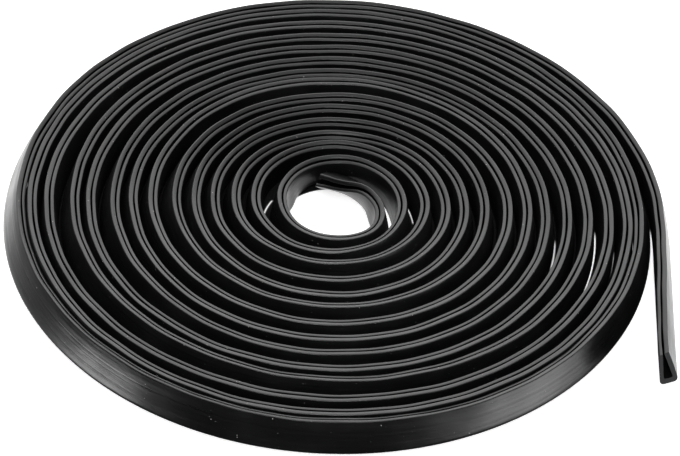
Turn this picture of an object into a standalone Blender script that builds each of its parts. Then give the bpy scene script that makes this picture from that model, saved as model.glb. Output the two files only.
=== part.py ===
"""Edge trim seal: a length of black hollow wedge-section channel, lying as a loose flat coil, mouth up."""
import math

import bmesh
import bpy
import numpy as np

# Section of the strip, square to its length (metres)
BASE_WIDTH = 0.0053
MOUTH_WIDTH = 0.0028
INNER_HEIGHT = 0.0098
OUTER_LIP_RISE = 0.0006
WALL = 0.0013
WEB = 0.0016
SLOT = 0.0005

# How the turns lie beside each other: each foot lies against the next one in, and a turn that is
# pushed out at one place draws a few stations to each side along with it
TURN_CLEARANCE = 0.0003
SETTLE = 0.0001
WALL_SET = 0.0018
PUSH_FALL = 0.00010
PUSH_REACH = 6
LEAN_MEAN = math.radians(5.0)
LEAN_SWING = math.radians(6.0)
LEAN_SIDE = math.radians(110.0)
EVENING_PASSES = 8
FURTHEST_LEAN = math.radians(64.0)

# Slack of each turn against the next one in, at the right, back, left and front of the coil:
# how much wider apart the two mouths lie than two bases that touch
SLACK = (
    (0.0004, -0.0010, -0.0023, -0.0023),
    (-0.0021, 0.0005, -0.0008, -0.0003),
    (-0.0001, 0.0007, 0.0019, 0.0020),
    (0.0005, 0.0005, -0.0009, -0.0016),
    (0.0005, 0.0003, 0.0015, 0.0008),
    (0.0008, 0.0004, -0.0002, -0.0001),
    (-0.0003, -0.0017, 0.0001, 0.0009),
    (0.0002, 0.0024, 0.0013, 0.0012),
    (0.0011, 0.0000, 0.0001, -0.0008),
    (0.0005, 0.0007, -0.0001, 0.0008),
    (-0.0001, 0.0004, 0.0006, 0.0013),
    (0.0005, -0.0007, 0.0002, -0.0007),
    (0.0011, 0.0011, 0.0022, 0.0002),
)

# Mouth radius of the innermost turn at the same four places
INNER_TURN = (0.0198, 0.0186, 0.0156, 0.0163)

# The tail that curls into the eye and falls over inwards: angle, mouth radius and inward lean,
# both angles in degrees
TAIL = (
    (-45, 0.0163, 3.0),
    (-15, 0.0138, 4.0),
    (15, 0.0111, 10.0),
    (40, 0.0096, 26.0),
    (70, 0.0087, 40.0),
    (95, 0.0097, 43.5),
    (115, 0.0118, 41.0),
)

# The two cut ends
FREE_END = 0.0583
FREE_BEND = 0.0012
FREE_LEAN = math.radians(15.0)
SPLAY = 0.0022
SPLAY_LENGTH = 0.0220

# Slant of the two cuts: how far the cut runs along the strip for each unit across and up the section
OUTER_CUT = (0.20, 0.15)
INNER_CUT = (-0.25, 0.10)

STEPS_PER_TURN = 48
SHARP_ANGLE = math.radians(35.0)


def smooth_max(first, second):
    """The larger of two lengths, with the change from one to the other rounded off."""
    return 0.5 * (first + second + math.hypot(first - second, SETTLE))


def mouth_knots():
    """Angle along the coil, counted inwards from the free end's root, and mouth radius there."""
    turns = [list(INNER_TURN)]
    for slacks in reversed(SLACK):
        pitch = [max(BASE_WIDTH + slack, MOUTH_WIDTH) + TURN_CLEARANCE for slack in slacks]
        turns.insert(0, [radius + step for radius, step in zip(turns[0], pitch)])
    radii = [radius for turn in turns for radius in turn]
    knots = [(0.5 * math.pi * index, radius) for index, radius in enumerate(radii)]
    full = 2.0 * math.pi * len(turns)
    return knots + [(full + math.radians(angle), radius) for angle, radius, _ in TAIL]


def smooth_curve(knots, places):
    """Values at the places, on a cubic that runs smoothly through the knots."""
    at = np.array([knot[0] for knot in knots])
    value = np.array([knot[1] for knot in knots])
    slope = np.gradient(value, at)
    left = np.clip(np.searchsorted(at, places, side="right") - 1, 0, len(at) - 2)
    span = at[left + 1] - at[left]
    t = (places - at[left]) / span
    return (
        (1.0 + 2.0 * t) * (1.0 - t) ** 2 * value[left]
        + t * (1.0 - t) ** 2 * span * slope[left]
        + t * t * (3.0 - 2.0 * t) * value[left + 1]
        + t * t * (t - 1.0) * span * slope[left + 1]
    )


def evened(radii):
    """Radii with each turn drawn towards the middle of its two neighbours; the first and last turn stay."""
    radii = radii.copy()
    inner = slice(STEPS_PER_TURN, -STEPS_PER_TURN)
    for _ in range(EVENING_PASSES):
        neighbours = radii[: -2 * STEPS_PER_TURN] + radii[2 * STEPS_PER_TURN :]
        radii[inner] = 0.5 * radii[inner] + 0.25 * neighbours
    return radii


def free_lean(angles):
    """Inward lean that the strip takes by itself: it swings round each turn and grows along the tail."""
    lean = LEAN_MEAN + LEAN_SWING * np.cos(angles - LEAN_SIDE)
    full = 2.0 * math.pi * (len(SLACK) + 1)
    start = full - 0.5 * math.pi
    knots = [(start, LEAN_MEAN + LEAN_SWING * math.cos(start - LEAN_SIDE))]
    knots += [(full + math.radians(angle), math.radians(degrees)) for angle, _, degrees in TAIL]
    return np.where(angles < start, lean, smooth_curve(knots, np.maximum(angles, start)))


def lean_of(offset):
    """Inward lean of a section whose base lies this far outwards from its mouth."""
    limit = math.sin(FURTHEST_LEAN)
    return math.asin(max(-limit, min(limit, offset / INNER_HEIGHT)))


def across_path(points):
    """Unit directions square to a path on the floor plan, pointing outwards from the coil."""
    tangent = np.gradient(points, axis=0)
    tangent /= np.linalg.norm(tangent, axis=1, keepdims=True)
    return np.stack([tangent[:, 1], -tangent[:, 0]], axis=1)


def turn_paths():
    """Mouth points on the floor plan and base offsets outwards from them, turn by turn from outside in."""
    knots = mouth_knots()
    step = 2.0 * math.pi / STEPS_PER_TURN
    count = int(round(knots[-1][0] / step)) + 1
    angles = step * np.arange(count)
    mouth = smooth_curve(knots, angles)
    points = mouth[:, None] * np.stack([np.cos(angles), np.sin(angles)], axis=1)
    outward = across_path(points)
    base = evened(mouth + INNER_HEIGHT * np.sin(free_lean(angles)))
    reach = np.zeros(count)
    reach_angle = np.zeros(count)
    for index in range(count - 1, -1, -1):
        inner = index + STEPS_PER_TURN
        near = slice(inner - PUSH_REACH, inner + PUSH_REACH + 1)
        if inner - PUSH_REACH < count:
            away = (reach_angle[near] - angles[index] - 2.0 * math.pi) / step
            push = np.max(reach[near] - PUSH_FALL * away**2)
            base[index] = smooth_max(base[index], push + TURN_CLEARANCE + 0.5 * BASE_WIDTH)
        offset = base[index] - mouth[index]
        lean = lean_of(offset)
        corner = points[index] + (offset + 0.5 * BASE_WIDTH * math.cos(lean)) * outward[index]
        reach[index] = np.hypot(*corner) + WALL_SET * math.sin(lean) ** 2
        turned = math.atan2(corner[1], corner[0]) - angles[index]
        reach_angle[index] = angles[index] + math.remainder(turned, 2.0 * math.pi)
    return points, base - mouth


def strip_path():
    """Mouth points on the floor plan and base offsets, from the outer cut end to the inner one."""
    points, offset = turn_paths()
    spacing = np.linalg.norm(points[1] - points[0])
    runs = max(2, int(round(FREE_END / spacing)))
    share = np.arange(runs, 0, -1) / runs
    eased = share * share * (3.0 - 2.0 * share)
    free = np.stack([points[0, 0] - FREE_BEND * eased, -FREE_END * share], axis=1)
    free_offset = offset[0] + (INNER_HEIGHT * math.sin(FREE_LEAN) - offset[0]) * eased
    return np.vstack([free, points]), np.concatenate([free_offset, offset])


def section(splay):
    """Outline of the section as (across, up), counter-clockwise, with the mouth opened by splay."""
    half_base = 0.5 * BASE_WIDTH
    half_mouth = 0.5 * (MOUTH_WIDTH + splay)
    half_slot = 0.5 * (SLOT + splay)
    outer_height = INNER_HEIGHT + OUTER_LIP_RISE
    slot_rise = OUTER_LIP_RISE * half_slot / half_mouth
    middle = INNER_HEIGHT + 0.5 * OUTER_LIP_RISE
    half_cavity = half_base - WALL
    return [
        (-half_base, 0.0),
        (half_base, 0.0),
        (half_mouth, outer_height),
        (half_slot, middle + 0.5 * slot_rise),
        (half_cavity, WEB),
        (-half_cavity, WEB),
        (-half_slot, middle - 0.5 * slot_rise),
        (-half_mouth, INNER_HEIGHT),
    ]


def station(point, outward, offset, splay, cut=(0.0, 0.0)):
    """One ring of the strip: the section turned by its lean, standing on the floor on its lower corner."""
    lean = lean_of(offset)
    raised = 0.5 * BASE_WIDTH * abs(math.sin(lean))
    forward = np.array([-outward[1], outward[0]])
    ring = []
    for across, up in section(splay):
        along_outward = offset + across * math.cos(lean) - up * math.sin(lean)
        height = raised + across * math.sin(lean) + up * math.cos(lean)
        slant = cut[0] * across + cut[1] * up
        ring.append((*(point + along_outward * outward + slant * forward), height))
    return ring


def strip_rings():
    """All rings of the strip, centred on the middle of their box."""
    points, offsets = strip_path()
    outward = across_path(points)
    steps = np.linalg.norm(np.diff(points, axis=0), axis=1)
    to_end = np.append(np.cumsum(steps[::-1])[::-1], 0.0)
    splays = SPLAY * np.clip(1.0 - to_end / SPLAY_LENGTH, 0.0, 1.0) ** 2
    cuts = [OUTER_CUT] + [(0.0, 0.0)] * (len(points) - 2) + [INNER_CUT]
    rings = np.array([station(*row) for row in zip(points, outward, offsets, splays, cuts)])
    low = rings.min(axis=(0, 1))
    high = rings.max(axis=(0, 1))
    middle = 0.5 * (low + high)
    return rings - np.array([middle[0], middle[1], low[2]])


def rubber():
    material = bpy.data.materials.new("black_rubber")
    material.use_nodes = True
    shader = material.node_tree.nodes["Principled BSDF"]
    shader.inputs["Base Color"].default_value = (0.012, 0.012, 0.013, 1.0)
    shader.inputs["Roughness"].default_value = 0.42
    shader.inputs["Metallic"].default_value = 0.0
    return material


def trim_strip():
    """The whole strip as one closed solid, swept ring by ring and closed by its two cut faces."""
    rings = strip_rings()
    mesh_edit = bmesh.new()
    verts = [[mesh_edit.verts.new(point) for point in ring] for ring in rings]
    sides = len(verts[0])
    for near, far in zip(verts, verts[1:]):
        for side in range(sides):
            following = (side + 1) % sides
            mesh_edit.faces.new((near[side], near[following], far[following], far[side]))
    mesh_edit.faces.new(verts[0])
    mesh_edit.faces.new(verts[-1])
    bmesh.ops.triangulate(mesh_edit, faces=mesh_edit.faces[:])
    bmesh.ops.recalc_face_normals(mesh_edit, faces=mesh_edit.faces[:])
    mesh = bpy.data.meshes.new("trim_strip")
    mesh_edit.to_mesh(mesh)
    mesh_edit.free()
    mesh.shade_smooth()
    mesh.set_sharp_from_angle(angle=SHARP_ANGLE)
    mesh.materials.append(rubber())
    strip = bpy.data.objects.new("trim_strip", mesh)
    bpy.context.collection.objects.link(strip)
    return strip


for existing in list(bpy.data.objects):
    bpy.data.objects.remove(existing, do_unlink=True)
trim_strip()
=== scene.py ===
"""Looks of the edge trim seal: one length of black extruded rubber, coiled on a pale floor in soft light."""

import math

import bmesh
import bpy
import numpy as np
from mathutils import Matrix, Vector


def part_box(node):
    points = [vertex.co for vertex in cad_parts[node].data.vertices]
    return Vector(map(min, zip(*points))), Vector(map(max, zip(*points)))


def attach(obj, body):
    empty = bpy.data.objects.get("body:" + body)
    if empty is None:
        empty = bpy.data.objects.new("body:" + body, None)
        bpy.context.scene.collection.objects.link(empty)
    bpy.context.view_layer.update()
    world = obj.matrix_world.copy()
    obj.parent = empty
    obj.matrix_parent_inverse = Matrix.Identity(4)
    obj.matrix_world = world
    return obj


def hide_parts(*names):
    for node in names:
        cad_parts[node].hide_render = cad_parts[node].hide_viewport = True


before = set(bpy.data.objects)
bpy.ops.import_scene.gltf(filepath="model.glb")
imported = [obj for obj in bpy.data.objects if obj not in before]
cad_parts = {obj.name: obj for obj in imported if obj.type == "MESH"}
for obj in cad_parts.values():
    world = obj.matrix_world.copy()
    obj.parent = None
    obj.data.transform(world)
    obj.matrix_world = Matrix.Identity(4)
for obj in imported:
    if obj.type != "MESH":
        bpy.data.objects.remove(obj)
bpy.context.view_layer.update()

# Section of the strip, square to its length (metres)
BASE_WIDTH = 0.0053
MOUTH_WIDTH = 0.0028
INNER_HEIGHT = 0.0098
OUTER_LIP_RISE = 0.0006
WALL = 0.0013
WEB = 0.0016
SLOT = 0.00045
SLOT_SHIFT = 0.00015

# Roundings of the section: feet, walls, backs of the lips, slot and hollow
FOOT_ROUND = 0.0011
WALL_BULGE = 0.00020
WALL_ROUND = 0.080
LIP_ROUND = 0.00032
SLOT_ROUND = 0.00016
HOLLOW_ROUND = 0.00050
FOOT_STEPS = 3
WALL_STEPS = 3
LIP_STEPS = 4
SLOT_STEPS = 2
HOLLOW_STEPS = 2

# The soft feet of the inner turns spread a little, until they almost touch
FOOT_SPREAD = 0.00011
SPREAD_START = 0.60
SPREAD_LENGTH = 0.10

# How the turns lie beside each other: each foot lies against the next one in, and a turn that is
# pushed out at one place draws a few stations to each side along with it
TURN_CLEARANCE = 0.0003
SETTLE = 0.0001
WALL_SET = 0.0018
PUSH_FALL = 0.00010
PUSH_REACH = 6
LEAN_MEAN = math.radians(5.0)
LEAN_SWING = math.radians(6.0)
LEAN_SIDE = math.radians(110.0)
EVENING_PASSES = 8
FURTHEST_LEAN = math.radians(64.0)

# Slack of each turn against the next one in, at the right, back, left and front of the coil:
# how much wider apart the two mouths lie than two bases that touch
SLACK = (
    (0.0004, -0.0010, -0.0023, -0.0023),
    (-0.0021, 0.0005, -0.0008, -0.0003),
    (-0.0001, 0.0007, 0.0019, 0.0020),
    (0.0005, 0.0005, -0.0009, -0.0016),
    (0.0005, 0.0003, 0.0015, 0.0008),
    (0.0008, 0.0004, -0.0002, -0.0001),
    (-0.0003, -0.0017, 0.0001, 0.0009),
    (0.0002, 0.0024, 0.0013, 0.0012),
    (0.0011, 0.0000, 0.0001, -0.0008),
    (0.0005, 0.0007, -0.0001, 0.0008),
    (-0.0001, 0.0004, 0.0006, 0.0013),
    (0.0005, -0.0007, 0.0002, -0.0007),
    (0.0011, 0.0011, 0.0022, 0.0002),
)

# Mouth radius of the innermost turn at the same four places
INNER_TURN = (0.0198, 0.0186, 0.0156, 0.0163)

# The tail that curls into the eye and falls over inwards: angle, mouth radius and inward lean,
# both angles in degrees
TAIL = (
    (-45, 0.0163, 3.0),
    (-15, 0.0138, 4.0),
    (15, 0.0111, 10.0),
    (40, 0.0096, 26.0),
    (70, 0.0087, 40.0),
    (95, 0.0097, 43.5),
    (115, 0.0118, 41.0),
)

# The two cut ends
FREE_END = 0.0583
FREE_BEND = 0.0012
FREE_LEAN = math.radians(15.0)
SPLAY = 0.0012
SPLAY_LENGTH = 0.0220

# Slant of the two cuts: how far the cut runs along the strip for each unit across and up the section
OUTER_CUT = (0.20, 0.15)
INNER_CUT = (-0.25, 0.10)

# Stations of the route and of the finer skin
STEPS_PER_TURN = 48
SKIN_STEP = 0.0020
CUT_BLEND = 0.0080
SHARP_ANGLE = math.radians(50.0)

# The tail's soft end slumps a little further over than its stiff shape would
TAIL_SLUMP = 0.0011
SLUMP_LENGTH = 0.0260

# Past the tail's tip the innermost turn stands up again: base pulled in, place and reach from the inner end
STAND_PULL = 0.0018
STAND_PLACE = 0.0860
STAND_REACH = 0.0120

# Places of the cut faces' and the hollow's materials on the skin, after the rubber's own
CUT_PLACE = 1
HOLLOW_PLACE = 2

# Unevenness of the soft lips along the strip
SEED = 7
LIP_WAVE = 0.00010
SLOT_WAVE = 0.00010
HEIGHT_WAVE = 0.00010
WAVE_LENGTHS = (0.110, 0.061, 0.034, 0.019)
WAVE_DRIFT = 1.7

# Grain of the rubber, as waves in each metre: lines, bands and ripple along and across the strip, the rest
# along X, Y and Z; then the heights of the four kinds that stand out of the surface
LINE_WAVES = (4.0, 2600.0, 1.0)
BAND_WAVES = (1.5, 1000.0, 1.0)
RIPPLE_WAVES = (120.0, 420.0, 1.0)
GRAIN_WAVES = (5200.0, 5200.0, 5200.0)
PATCH_WAVES = (55.0, 55.0, 55.0)
SPECK_WAVES = (1500.0, 1500.0, 1500.0)
LINE_HEIGHT = 0.00002
BAND_HEIGHT = 0.00008
RIPPLE_HEIGHT = 0.00009
GRAIN_HEIGHT = 0.00001

# Drag marks of the knife on the cut faces
DRAG_WAVES = (2600.0, 2600.0, 500.0)
DRAG_HEIGHT = 0.00005

# Colours of the rubber, its bloom, the dust, the cut faces, and the hollow's painted shade
DEEP_BLACK = (0.0036, 0.0036, 0.0039, 1.0)
BLOOM_BLACK = (0.0062, 0.0063, 0.0068, 1.0)
DUST_GREY = (0.30, 0.29, 0.28, 1.0)
CUT_DARK = (0.014, 0.014, 0.015, 1.0)
CUT_LIGHT = (0.034, 0.034, 0.036, 1.0)
HOLLOW_PAINTED_SHADE = (0.003, 0.003, 0.003, 1.0)
WHITE = (1.0, 1.0, 1.0, 1.0)
BLACK = (0.0, 0.0, 0.0, 1.0)

# The camera: the photograph's angle, tilt of the horizon and lens
CAMERA_ELEVATION = math.radians(41.73)
CAMERA_ROLL = 0.06036
CAMERA_DISTANCE = 0.833
CAMERA_LENS = 151.57
CAMERA_SENSOR = 36.0
CAMERA_AIM_FROM_COIL = Vector((0.00193, -0.01194, 0.0))
LIP_LEVEL = 0.010

# Soft lights all round: direction, half width in degrees, strength
SOFT_LIGHTS = (
    ((0.0, 0.88, 0.47), 62.0, 3.1),
    ((0.0, 0.10, 0.99), 70.0, 1.3),
    ((0.0, 0.80, -0.59), 75.0, 0.8),
    ((0.30, 0.80, -0.52), 32.0, 2.2),
    ((-0.48, 0.78, -0.40), 22.0, 2.4),
    ((-0.85, 0.45, -0.28), 45.0, 0.5),
    ((-0.93, -0.31, -0.26), 16.0, 14.0),
    ((0.90, -0.34, -0.22), 30.0, 6.5),
    ((0.0, -0.665, 0.745), 12.0, 22.0),
)
AMBIENT = 0.02

# The floor: pale and glowing as painted light in the open, so that no shadow shows round the coil, and
# painted black as shade under the turns, but for the slits where gaps are wide
FLOOR_SIZE = 3.0
FLOOR_PAINTED_GLOW = 0.7
FLOOR_OPEN = (0.8, 0.8, 0.8, 1.0)
FLOOR_PAINTED_SHADE = (0.01, 0.01, 0.01, 1.0)

# Patches of the floor painted black as shade, and bright slits left open in them: near and far radius in
# metres from the coil's middle, first and last angle in degrees
PAINTED_SHADES = (
    (0.0201, 0.0875, -200.0, 200.0),
    (0.0870, 0.0955, 3.0, 90.0),
    (0.0185, 0.0206, 138.0, 179.0),
    (0.0165, 0.0206, 95.0, 139.0),
)
SLITS = (
    (0.0236, 0.0241, 8.0, 24.0),
    (0.0210, 0.0213, 153.0, 170.0),
    (0.0655, 0.0658, -11.5, -1.5),
    (0.0743, 0.0785, -38.0, 2.0),
    (0.0832, 0.0834, -10.0, -4.0),
)
SHADE_EDGE = 0.0003
TURN_EDGE = 1.5

# Painted reflections: a black card on the floor under the coil and its free end, and a glowing one in the
# eye, both seen in reflections alone
CARD_INNER = 0.0165
CARD_OUTER = 0.0965
CARD_SIDES = 96
END_CARD_NEAR = 0.084
END_CARD_FAR = 0.0975
EYE_CARD = 0.0160
EYE_PAINTED_GLOW = 1.0


def smooth_max(first, second):
    """The larger of two lengths, with the change from one to the other rounded off."""
    return 0.5 * (first + second + math.hypot(first - second, SETTLE))


def mouth_knots():
    """Angle along the coil, counted inwards from the free end's root, and mouth radius there."""
    turns = [list(INNER_TURN)]
    for slacks in reversed(SLACK):
        pitch = [max(BASE_WIDTH + slack, MOUTH_WIDTH) + TURN_CLEARANCE for slack in slacks]
        turns.insert(0, [radius + step for radius, step in zip(turns[0], pitch)])
    radii = [radius for turn in turns for radius in turn]
    knots = [(0.5 * math.pi * index, radius) for index, radius in enumerate(radii)]
    full = 2.0 * math.pi * len(turns)
    return knots + [(full + math.radians(angle), radius) for angle, radius, _ in TAIL]


def smooth_curve(knots, places):
    """Values at the places, on a cubic that runs smoothly through the knots."""
    at = np.array([knot[0] for knot in knots])
    value = np.array([knot[1] for knot in knots])
    slope = np.gradient(value, at)
    left = np.clip(np.searchsorted(at, places, side="right") - 1, 0, len(at) - 2)
    span = at[left + 1] - at[left]
    t = (places - at[left]) / span
    return (
        (1.0 + 2.0 * t) * (1.0 - t) ** 2 * value[left]
        + t * (1.0 - t) ** 2 * span * slope[left]
        + t * t * (3.0 - 2.0 * t) * value[left + 1]
        + t * t * (t - 1.0) * span * slope[left + 1]
    )


def evened(radii):
    """Radii with each turn drawn towards the middle of its two neighbours; the first and last turn stay."""
    radii = radii.copy()
    inner = slice(STEPS_PER_TURN, -STEPS_PER_TURN)
    for _ in range(EVENING_PASSES):
        neighbours = radii[: -2 * STEPS_PER_TURN] + radii[2 * STEPS_PER_TURN :]
        radii[inner] = 0.5 * radii[inner] + 0.25 * neighbours
    return radii


def free_lean(angles):
    """Inward lean that the strip takes by itself: it swings round each turn and grows along the tail."""
    lean = LEAN_MEAN + LEAN_SWING * np.cos(angles - LEAN_SIDE)
    full = 2.0 * math.pi * (len(SLACK) + 1)
    start = full - 0.5 * math.pi
    knots = [(start, LEAN_MEAN + LEAN_SWING * math.cos(start - LEAN_SIDE))]
    knots += [(full + math.radians(angle), math.radians(degrees)) for angle, _, degrees in TAIL]
    return np.where(angles < start, lean, smooth_curve(knots, np.maximum(angles, start)))


def lean_of(offset):
    """Inward lean of a section whose base lies this far outwards from its mouth."""
    limit = math.sin(FURTHEST_LEAN)
    return math.asin(max(-limit, min(limit, offset / INNER_HEIGHT)))


def across_path(points):
    """Unit directions square to a path on the floor plan, pointing outwards from the coil."""
    tangent = np.gradient(points, axis=0)
    tangent /= np.linalg.norm(tangent, axis=1, keepdims=True)
    return np.stack([tangent[:, 1], -tangent[:, 0]], axis=1)


def turn_paths():
    """Mouth points on the floor plan and base offsets outwards from them, turn by turn from outside in."""
    knots = mouth_knots()
    step = 2.0 * math.pi / STEPS_PER_TURN
    count = int(round(knots[-1][0] / step)) + 1
    angles = step * np.arange(count)
    mouth = smooth_curve(knots, angles)
    points = mouth[:, None] * np.stack([np.cos(angles), np.sin(angles)], axis=1)
    outward = across_path(points)
    base = evened(mouth + INNER_HEIGHT * np.sin(free_lean(angles)))
    reach = np.zeros(count)
    reach_angle = np.zeros(count)
    for index in range(count - 1, -1, -1):
        inner = index + STEPS_PER_TURN
        near = slice(inner - PUSH_REACH, inner + PUSH_REACH + 1)
        if inner - PUSH_REACH < count:
            away = (reach_angle[near] - angles[index] - 2.0 * math.pi) / step
            push = np.max(reach[near] - PUSH_FALL * away**2)
            base[index] = smooth_max(base[index], push + TURN_CLEARANCE + 0.5 * BASE_WIDTH)
        offset = base[index] - mouth[index]
        lean = lean_of(offset)
        corner = points[index] + (offset + 0.5 * BASE_WIDTH * math.cos(lean)) * outward[index]
        reach[index] = np.hypot(*corner) + WALL_SET * math.sin(lean) ** 2
        turned = math.atan2(corner[1], corner[0]) - angles[index]
        reach_angle[index] = angles[index] + math.remainder(turned, 2.0 * math.pi)
    return points, base - mouth


def route():
    """Mouth points and base offsets at the frame's own stations, from the outer end inwards."""
    points, offset = turn_paths()
    spacing = np.linalg.norm(points[1] - points[0])
    runs = max(2, int(round(FREE_END / spacing)))
    share = np.arange(runs, 0, -1) / runs
    eased = share * share * (3.0 - 2.0 * share)
    free = np.stack([points[0, 0] - FREE_BEND * eased, -FREE_END * share], axis=1)
    free_offset = offset[0] + (INNER_HEIGHT * math.sin(FREE_LEAN) - offset[0]) * eased
    return np.vstack([free, points]), np.concatenate([free_offset, offset])


def fine_route():
    """The route at even, finer steps: length run, points, outward directions and base offsets."""
    points, offsets = route()
    steps = np.linalg.norm(np.diff(points, axis=0), axis=1)
    run = np.concatenate([[0.0], np.cumsum(steps)])
    along = np.linspace(0.0, run[-1], int(run[-1] / SKIN_STEP) + 1)
    x, y, base = [smooth_curve(list(zip(run, column)), along) for column in (*points.T, offsets)]
    fine = np.stack([x, y], axis=1)
    return along, fine, across_path(fine), base


def wander(along, size, generator):
    """A smooth random curve along the strip, about as high as the given size."""
    total = np.zeros(len(along))
    for length in WAVE_LENGTHS:
        phase, drift = generator.uniform(0.0, 2.0 * math.pi, 2)
        total += np.sin(2.0 * math.pi * along / length + phase + WAVE_DRIFT * np.sin(along / length + drift))
    return size * total / len(WAVE_LENGTHS) ** 0.5


def rounded(outline):
    """Points of an outline whose corners are (x, y, radius, steps), each corner drawn as an arc."""
    points = []
    for index, (x, y, radius, steps) in enumerate(outline):
        corner = Vector((x, y))
        before = (Vector(outline[index - 1][:2]) - corner).normalized()
        after = (Vector(outline[(index + 1) % len(outline)][:2]) - corner).normalized()
        half = 0.5 * before.angle(after)
        centre = corner + (before + after).normalized() * (radius / math.sin(half))
        start = corner + before * (radius / math.tan(half)) - centre
        end = corner + after * (radius / math.tan(half)) - centre
        first = math.atan2(start.y, start.x)
        sweep = math.remainder(math.atan2(end.y, end.x) - first, 2.0 * math.pi)
        turns = [first + sweep * step / steps for step in range(steps + 1)]
        points += [centre + radius * Vector((math.cos(turn), math.sin(turn))) for turn in turns]
    return points


def section(splay, slot, lip_shift, rise, spread):
    """Rounded outline as (across, up), counter-clockwise from the inner foot; splay opens the mouth."""
    half_base = 0.5 * BASE_WIDTH + spread
    half_mouth = 0.5 * (MOUTH_WIDTH + splay)
    half_slot = 0.5 * (slot + splay)
    half_hollow = 0.5 * BASE_WIDTH - WALL
    height = INNER_HEIGHT + rise
    slope = OUTER_LIP_RISE / (2.0 * half_mouth)
    middle = height + 0.5 * OUTER_LIP_RISE
    inner_slot = -half_slot - SLOT_SHIFT
    outer_slot = half_slot - SLOT_SHIFT
    half_wall = 0.5 * (half_base + half_mouth) + WALL_BULGE
    return rounded([
        (-half_base, 0.0, FOOT_ROUND, FOOT_STEPS),
        (half_base, 0.0, FOOT_ROUND, FOOT_STEPS),
        (half_wall + 0.5 * lip_shift, 0.5 * middle, WALL_ROUND, WALL_STEPS),
        (half_mouth + lip_shift, height + OUTER_LIP_RISE, LIP_ROUND, LIP_STEPS),
        (outer_slot + lip_shift, middle + slope * outer_slot, SLOT_ROUND, SLOT_STEPS),
        (half_hollow, WEB, HOLLOW_ROUND, HOLLOW_STEPS),
        (-half_hollow, WEB, HOLLOW_ROUND, HOLLOW_STEPS),
        (inner_slot + lip_shift, middle + slope * inner_slot, SLOT_ROUND, SLOT_STEPS),
        (-half_mouth + lip_shift, height, LIP_ROUND, LIP_STEPS),
        (-half_wall + 0.5 * lip_shift, 0.5 * middle, WALL_ROUND, WALL_STEPS),
    ])


def station(point, outward, offset, outline, cut=(0.0, 0.0)):
    """One ring of the skin: the section turned by its lean, standing on the floor on its lower corner."""
    lean = lean_of(offset)
    raised = 0.5 * BASE_WIDTH * abs(math.sin(lean))
    forward = np.array([-outward[1], outward[0]])
    ring = []
    for across, up in outline:
        along_outward = offset + across * math.cos(lean) - up * math.sin(lean)
        height = raised + across * math.sin(lean) + up * math.cos(lean)
        slant = cut[0] * across + cut[1] * up
        ring.append((*(point + along_outward * outward + slant * forward), max(0.0, height)))
    return ring


def skin_rings():
    """All rings of the skin in the route's own frame, with the length run and each ring's outline."""
    generator = np.random.default_rng(SEED)
    along, points, outward, offsets = fine_route()
    slots = SLOT + wander(along, SLOT_WAVE, generator)
    shifts = wander(along, LIP_WAVE, generator)
    rises = wander(along, HEIGHT_WAVE, generator)
    to_end = along[-1] - along
    slump = np.clip(1.0 - to_end / SLUMP_LENGTH, 0.0, 1.0)
    offsets = offsets + TAIL_SLUMP * slump * slump * (3.0 - 2.0 * slump)
    offsets = offsets - STAND_PULL * np.exp(-(((to_end - STAND_PLACE) / STAND_REACH) ** 2))
    splays = SPLAY * np.clip(1.0 - to_end / SPLAY_LENGTH, 0.0, 1.0) ** 2
    spreads = FOOT_SPREAD * np.clip((along - SPREAD_START) / SPREAD_LENGTH, 0.0, 1.0)
    outlines = [section(*row) for row in zip(splays, slots, shifts, rises, spreads)]
    outer_share = np.clip(1.0 - along / CUT_BLEND, 0.0, 1.0)
    inner_share = np.clip(1.0 - to_end / CUT_BLEND, 0.0, 1.0)
    cuts = np.outer(outer_share, OUTER_CUT) + np.outer(inner_share, INNER_CUT)
    rings = [station(*row) for row in zip(points, outward, offsets, outlines, cuts)]
    return along, np.array(rings), outlines


def around(outline):
    """Length run round an outline at each of its points, and once more back at the first."""
    closed = outline + outline[:1]
    return np.concatenate([[0.0], np.cumsum([(b - a).length for a, b in zip(closed, closed[1:])])])


def trim_skin(materials, shift):
    """The strip as a fine swept mesh: base, walls and soft lips over a hollow, closed at both cuts."""
    along, rings, outlines = skin_rings()
    rings = rings + np.array([shift.x, shift.y, 0.0])
    mesh_edit = bmesh.new()
    flat = mesh_edit.loops.layers.uv.new("strip")
    verts = [[mesh_edit.verts.new(point) for point in ring] for ring in rings]
    turn = around(outlines[0])
    sides = len(verts[0])
    before_hollow = 2 * (FOOT_STEPS + 1) + (WALL_STEPS + 1) + (LIP_STEPS + 1) + (SLOT_STEPS + 1)
    hollow = range(before_hollow - 1, before_hollow + 2 * (HOLLOW_STEPS + 1))
    for index, (near, far) in enumerate(zip(verts, verts[1:])):
        for side in range(sides):
            following = (side + 1) % sides
            face = mesh_edit.faces.new((near[side], near[following], far[following], far[side]))
            corners = (
                (along[index], turn[side]),
                (along[index], turn[side + 1]),
                (along[index + 1], turn[side + 1]),
                (along[index + 1], turn[side]),
            )
            if side in hollow:
                face.material_index = HOLLOW_PLACE
            for loop, corner in zip(face.loops, corners):
                loop[flat].uv = corner
    for ends in (verts[0], verts[-1]):
        mesh_edit.faces.new(ends).material_index = CUT_PLACE
    bmesh.ops.recalc_face_normals(mesh_edit, faces=mesh_edit.faces[:])
    mesh = bpy.data.meshes.new("trim_skin")
    mesh_edit.to_mesh(mesh)
    mesh_edit.free()
    mesh.shade_smooth()
    mesh.set_sharp_from_angle(angle=SHARP_ANGLE)
    for material in materials:
        mesh.materials.append(material)
    skin = bpy.data.objects.new("trim_skin", mesh)
    bpy.context.scene.collection.objects.link(skin)
    return skin


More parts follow.
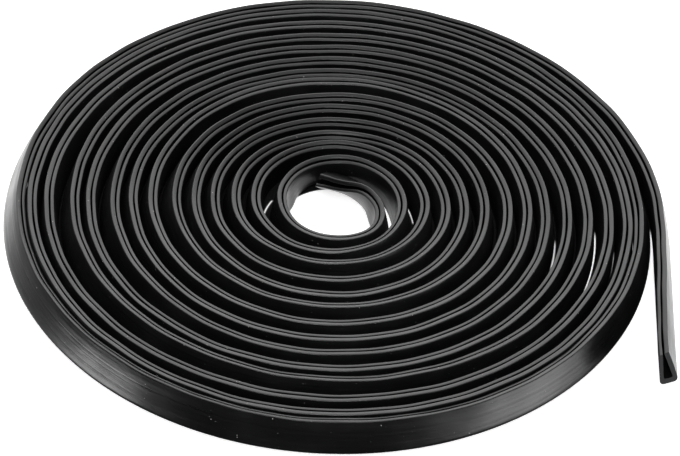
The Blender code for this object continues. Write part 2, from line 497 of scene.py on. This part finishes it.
class Nodes:
    """Short calls for adding and joining shader nodes."""

    def __init__(self, tree):
        self.tree = tree
        tree.nodes.clear()

    def add(self, kind, **settings):
        """A new node of this kind, with its settings."""
        node = self.tree.nodes.new(kind)
        for name, value in settings.items():
            setattr(node, name, value)
        return node

    def feed(self, node, socket, value):
        """Sets a socket to a number or colour, or links another node's output to it."""
        if isinstance(value, bpy.types.NodeSocket):
            self.tree.links.new(value, node.inputs[socket])
        else:
            node.inputs[socket].default_value = value

    def math(self, operation, first, second=0.0):
        """The result of one sum on two values."""
        node = self.add("ShaderNodeMath", operation=operation)
        self.feed(node, 0, first)
        self.feed(node, 1, second)
        return node.outputs[0]

    def remap(self, value, low, high, to_low=0.0, to_high=1.0):
        """A value carried smoothly from one range to another and held at its ends."""
        node = self.add("ShaderNodeMapRange", interpolation_type="SMOOTHSTEP")
        for socket, number in enumerate((value, low, high, to_low, to_high)):
            self.feed(node, socket, number)
        return node.outputs[0]

    def between(self, value, low, high, edge):
        """One where the value lies between low and high, zero outside, with soft edges."""
        above = self.remap(value, low - edge, low + edge)
        below = self.remap(value, high - edge, high + edge, 1.0, 0.0)
        return self.math("MULTIPLY", above, below)

    def patch(self, radius, angle, near, far, first, last):
        """One inside a patch of the floor between two radii and two angles in degrees, zero outside."""
        across = self.between(radius, near, far, SHADE_EDGE)
        turned = self.between(angle, math.radians(first), math.radians(last), math.radians(TURN_EDGE))
        return self.math("MULTIPLY", across, turned)

    def scaled(self, vector, scale):
        """A vector times a scale, each part by its own."""
        node = self.add("ShaderNodeVectorMath", operation="MULTIPLY")
        self.feed(node, 0, vector)
        self.feed(node, 1, scale)
        return node.outputs[0]

    def noise(self, vector, detail=2.0, rough=0.5):
        """Soft random values between zero and one at each place."""
        node = self.add("ShaderNodeTexNoise")
        self.feed(node, "Vector", vector)
        self.feed(node, "Scale", 1.0)
        self.feed(node, "Detail", detail)
        self.feed(node, "Roughness", rough)
        return node.outputs["Fac"]

    def blend(self, share, first, second):
        """A colour between two others, the second one at a share of one."""
        node = self.add("ShaderNodeMix", data_type="RGBA")
        self.feed(node, "Factor", share)
        colours = [socket for socket in node.inputs if socket.type == "RGBA"]
        for socket, colour in zip(colours, (first, second)):
            if isinstance(colour, bpy.types.NodeSocket):
                self.tree.links.new(colour, socket)
            else:
                socket.default_value = colour
        return [socket for socket in node.outputs if socket.type == "RGBA"][0]

    def bump(self, height, strength, distance, normal=None):
        """Surface directions as if it rose and fell by the height, on top of those given."""
        node = self.add("ShaderNodeBump")
        self.feed(node, "Height", height)
        self.feed(node, "Strength", strength)
        self.feed(node, "Distance", distance)
        if normal is not None:
            self.feed(node, "Normal", normal)
        return node.outputs["Normal"]


def rubber():
    """Satin black rubber: fine lengthwise drawing lines, uneven sheen, a little bloom and dust."""
    material = bpy.data.materials.new("black_rubber")
    material.use_nodes = True
    nodes = Nodes(material.node_tree)
    strip = nodes.add("ShaderNodeUVMap", uv_map="strip").outputs["UV"]
    place = nodes.add("ShaderNodeTexCoord").outputs["Object"]

    lines = nodes.noise(nodes.scaled(strip, LINE_WAVES), 3.0, 0.6)
    bands = nodes.noise(nodes.scaled(strip, BAND_WAVES), 2.0, 0.5)
    ripple = nodes.noise(nodes.scaled(strip, RIPPLE_WAVES), 2.0, 0.5)
    grain = nodes.noise(nodes.scaled(place, GRAIN_WAVES), 2.0, 0.6)
    patches = nodes.noise(nodes.scaled(place, PATCH_WAVES), 3.0, 0.55)
    specks = nodes.noise(nodes.scaled(place, SPECK_WAVES), 1.0, 0.5)

    bloom = nodes.remap(patches, 0.45, 0.75)
    dust = nodes.remap(specks, 0.77, 0.81)
    colour = nodes.blend(bloom, DEEP_BLACK, BLOOM_BLACK)
    colour = nodes.blend(dust, colour, DUST_GREY)

    streaky = nodes.remap(bands, 0.3, 0.7, 0.29, 0.39)
    rough = nodes.math("ADD", streaky, nodes.remap(patches, 0.3, 0.7, -0.03, 0.05))
    rough = nodes.math("ADD", rough, nodes.math("MULTIPLY", dust, 0.2))

    normal = nodes.bump(ripple, 1.0, RIPPLE_HEIGHT)
    normal = nodes.bump(bands, 1.0, BAND_HEIGHT, normal)
    normal = nodes.bump(lines, 0.8, LINE_HEIGHT, normal)
    normal = nodes.bump(grain, 0.20, GRAIN_HEIGHT, normal)

    shader = nodes.add("ShaderNodeBsdfPrincipled")
    nodes.feed(shader, "Base Color", colour)
    nodes.feed(shader, "Roughness", rough)
    nodes.feed(shader, "Specular IOR Level", 0.45)
    nodes.feed(shader, "Normal", normal)
    output = nodes.add("ShaderNodeOutputMaterial")
    nodes.feed(output, "Surface", shader.outputs["BSDF"])
    return material


def cut_rubber():
    """The two cut faces: the same rubber, torn a little by the knife, so duller and greyer."""
    material = bpy.data.materials.new("cut_rubber")
    material.use_nodes = True
    nodes = Nodes(material.node_tree)
    place = nodes.add("ShaderNodeTexCoord").outputs["Object"]
    drag = nodes.noise(nodes.scaled(place, DRAG_WAVES), 3.0, 0.6)
    colour = nodes.blend(drag, CUT_DARK, CUT_LIGHT)
    shader = nodes.add("ShaderNodeBsdfPrincipled")
    nodes.feed(shader, "Base Color", colour)
    nodes.feed(shader, "Roughness", nodes.remap(drag, 0.3, 0.7, 0.6, 0.8))
    nodes.feed(shader, "Normal", nodes.bump(drag, 0.4, DRAG_HEIGHT))
    output = nodes.add("ShaderNodeOutputMaterial")
    nodes.feed(output, "Surface", shader.outputs["BSDF"])
    return material


def hollow_rubber_painted_shade():
    """The inside of the hollow: the same rubber with painted shade, made dull and black with weak
    reflections because it lies out of the light.
    """
    material = bpy.data.materials.new("hollow_rubber_painted_shade")
    material.use_nodes = True
    shader = material.node_tree.nodes["Principled BSDF"]
    # Painted shade: a darker colour and weak, dull reflections inside the hollow
    shader.inputs["Base Color"].default_value = HOLLOW_PAINTED_SHADE
    shader.inputs["Roughness"].default_value = 0.8
    shader.inputs["Specular IOR Level"].default_value = 0.08
    return material


def floor_sheet(middle):
    """A pale floor, level with the underside of the coil, glowing as painted light in the open and painted
    black as shade under the turns.
    """
    mesh_edit = bmesh.new()
    bmesh.ops.create_grid(mesh_edit, x_segments=1, y_segments=1, size=0.5 * FLOOR_SIZE)
    mesh = bpy.data.meshes.new("floor")
    mesh_edit.to_mesh(mesh)
    mesh_edit.free()
    material = bpy.data.materials.new("floor_paper")
    material.use_nodes = True
    nodes = Nodes(material.node_tree)
    place = nodes.add("ShaderNodeTexCoord").outputs["Object"]
    parts = nodes.add("ShaderNodeSeparateXYZ")
    nodes.feed(parts, 0, place)
    radius = nodes.add("ShaderNodeVectorMath", operation="LENGTH")
    nodes.feed(radius, 0, place)
    radius = radius.outputs["Value"]
    angle = nodes.math("ARCTAN2", parts.outputs["Y"], parts.outputs["X"])
    # Painted shade: under the turns the floor's colour is blended to black and its glow is put out, but for
    # the slits
    painted_shade = 0.0
    slit = 0.0
    for near, far, first, last in PAINTED_SHADES:
        painted_shade = nodes.math("MAXIMUM", painted_shade, nodes.patch(radius, angle, near, far, first, last))
    for near, far, first, last in SLITS:
        slit = nodes.math("MAXIMUM", slit, nodes.patch(radius, angle, near, far, first, last))
    painted_shade = nodes.math("MULTIPLY", painted_shade, nodes.math("SUBTRACT", 1.0, slit))
    open_share = nodes.math("SUBTRACT", 1.0, painted_shade)
    shader = nodes.add("ShaderNodeBsdfPrincipled")
    nodes.feed(shader, "Base Color", nodes.blend(painted_shade, FLOOR_OPEN, FLOOR_PAINTED_SHADE))
    nodes.feed(shader, "Roughness", 0.9)
    nodes.feed(shader, "Specular IOR Level", 0.0)
    nodes.feed(shader, "Emission Color", WHITE)
    # Painted light: the open floor glows, so that no contact shadow shows round the coil
    nodes.feed(shader, "Emission Strength", nodes.math("MULTIPLY", open_share, FLOOR_PAINTED_GLOW))
    output = nodes.add("ShaderNodeOutputMaterial")
    nodes.feed(output, "Surface", shader.outputs["BSDF"])
    mesh.materials.append(material)
    floor = bpy.data.objects.new("floor", mesh)
    bpy.context.scene.collection.objects.link(floor)
    floor.location = middle
    floor.visible_glossy = False


def card(name, corners, glow, middle):
    """A sheet on the floor, black or glowing, that only reflections see, as a painted reflection; each row
    of corners is one face.
    """
    mesh_edit = bmesh.new()
    for face in corners:
        mesh_edit.faces.new([mesh_edit.verts.new((x, y, 0.0)) for x, y in face])
    mesh = bpy.data.meshes.new(name)
    mesh_edit.to_mesh(mesh)
    mesh_edit.free()
    material = bpy.data.materials.new(name)
    material.use_nodes = True
    shader = material.node_tree.nodes["Principled BSDF"]
    shader.inputs["Base Color"].default_value = BLACK
    shader.inputs["Specular IOR Level"].default_value = 0.0
    shader.inputs["Emission Color"].default_value = WHITE
    shader.inputs["Emission Strength"].default_value = glow
    mesh.materials.append(material)
    sheet = bpy.data.objects.new(name, mesh)
    bpy.context.scene.collection.objects.link(sheet)
    sheet.location = middle
    sheet.visible_camera = False
    sheet.visible_diffuse = False
    sheet.visible_shadow = False


def cards(middle):
    """Painted dark reflection under the coil, so that the walls between the turns mirror nothing bright, and
    a painted bright reflection from a glowing card in the eye.
    """
    turns = [2.0 * math.pi * side / CARD_SIDES for side in range(CARD_SIDES)]
    circle = [Vector((math.cos(turn), math.sin(turn))) for turn in turns]
    ring = []
    for near, far in zip(circle, circle[1:] + circle[:1]):
        ring.append((CARD_INNER * near, CARD_OUTER * near, CARD_OUTER * far, CARD_INNER * far))
    near, far = END_CARD_NEAR, END_CARD_FAR
    ring.append(((near, -FREE_END), (far, -FREE_END), (far, 0.0), (near, 0.0)))
    # Painted reflections: the black card darkens what the walls mirror, and the eye card glows though it is
    # no lamp
    card("card_black_painted_reflection", ring, 0.0, middle)
    card("card_eye_painted_reflection", [[EYE_CARD * point for point in circle]], EYE_PAINTED_GLOW, middle)


def studio():
    """Soft light from all round, and plain white wherever the camera sees past the floor."""
    world = bpy.data.worlds.new("studio")
    world.use_nodes = True
    bpy.context.scene.world = world
    nodes = Nodes(world.node_tree)
    direction = nodes.add("ShaderNodeTexCoord").outputs["Generated"]
    total = AMBIENT
    for axis, half_width, strength in SOFT_LIGHTS:
        facing = nodes.add("ShaderNodeVectorMath", operation="DOT_PRODUCT")
        nodes.feed(facing, 0, direction)
        nodes.feed(facing, 1, Vector(axis).normalized())
        edge = math.cos(math.radians(half_width))
        glow = nodes.remap(facing.outputs["Value"], edge, 1.0, 0.0, strength)
        total = nodes.math("ADD", glow, total)
    light = nodes.add("ShaderNodeBackground")
    nodes.feed(light, "Strength", total)
    backdrop = nodes.add("ShaderNodeBackground")
    nodes.feed(backdrop, "Strength", 1.0)
    seen = nodes.add("ShaderNodeLightPath").outputs["Is Camera Ray"]
    mix = nodes.add("ShaderNodeMixShader")
    nodes.feed(mix, 0, seen)
    nodes.feed(mix, 1, light.outputs[0])
    nodes.feed(mix, 2, backdrop.outputs[0])
    output = nodes.add("ShaderNodeOutputWorld")
    nodes.feed(output, "Surface", mix.outputs[0])
    bpy.context.scene.view_settings.view_transform = "Standard"


def camera(middle):
    """The camera at the photograph's angle, with the photograph's small tilt of the horizon."""
    data = bpy.data.cameras.new("camera")
    data.lens = CAMERA_LENS
    data.sensor_width = CAMERA_SENSOR
    data.clip_start = 0.05
    holder = bpy.data.objects.new("camera", data)
    bpy.context.scene.collection.objects.link(holder)
    aim = middle + CAMERA_AIM_FROM_COIL + Vector((0.0, 0.0, LIP_LEVEL))
    right = Vector((1.0, 0.0, 0.0))
    up = Vector((0.0, math.sin(CAMERA_ELEVATION), math.cos(CAMERA_ELEVATION)))
    backwards = right.cross(up)
    tilted_right = math.cos(CAMERA_ROLL) * right + math.sin(CAMERA_ROLL) * up
    tilted_up = backwards.cross(tilted_right)
    turn = Matrix((tilted_right, tilted_up, backwards)).transposed().to_4x4()
    holder.matrix_world = Matrix.Translation(aim + CAMERA_DISTANCE * backwards) @ turn
    bpy.context.scene.camera = holder


def coil_centre():
    """Middle of the coil in the row frame: the feet's own box, set on the frame's box."""
    points, offsets = route()
    low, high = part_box("trim_strip")
    plain = [(-0.5 * BASE_WIDTH, 0.0), (0.5 * BASE_WIDTH, 0.0)]
    feet = np.array([station(*row, plain) for row in zip(points, across_path(points), offsets)])
    span = feet.reshape(-1, 3)
    middle = 0.5 * (span.min(axis=0) + span.max(axis=0))
    frame_middle = 0.5 * (low + high)
    return Vector((frame_middle.x - middle[0], frame_middle.y - middle[1], 0.0))


centre = coil_centre()
camera(centre)
studio()
floor_sheet(centre)
cards(centre)
skin = trim_skin((rubber(), cut_rubber(), hollow_rubber_painted_shade()), centre)
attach(skin, "root")
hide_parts("trim_strip")
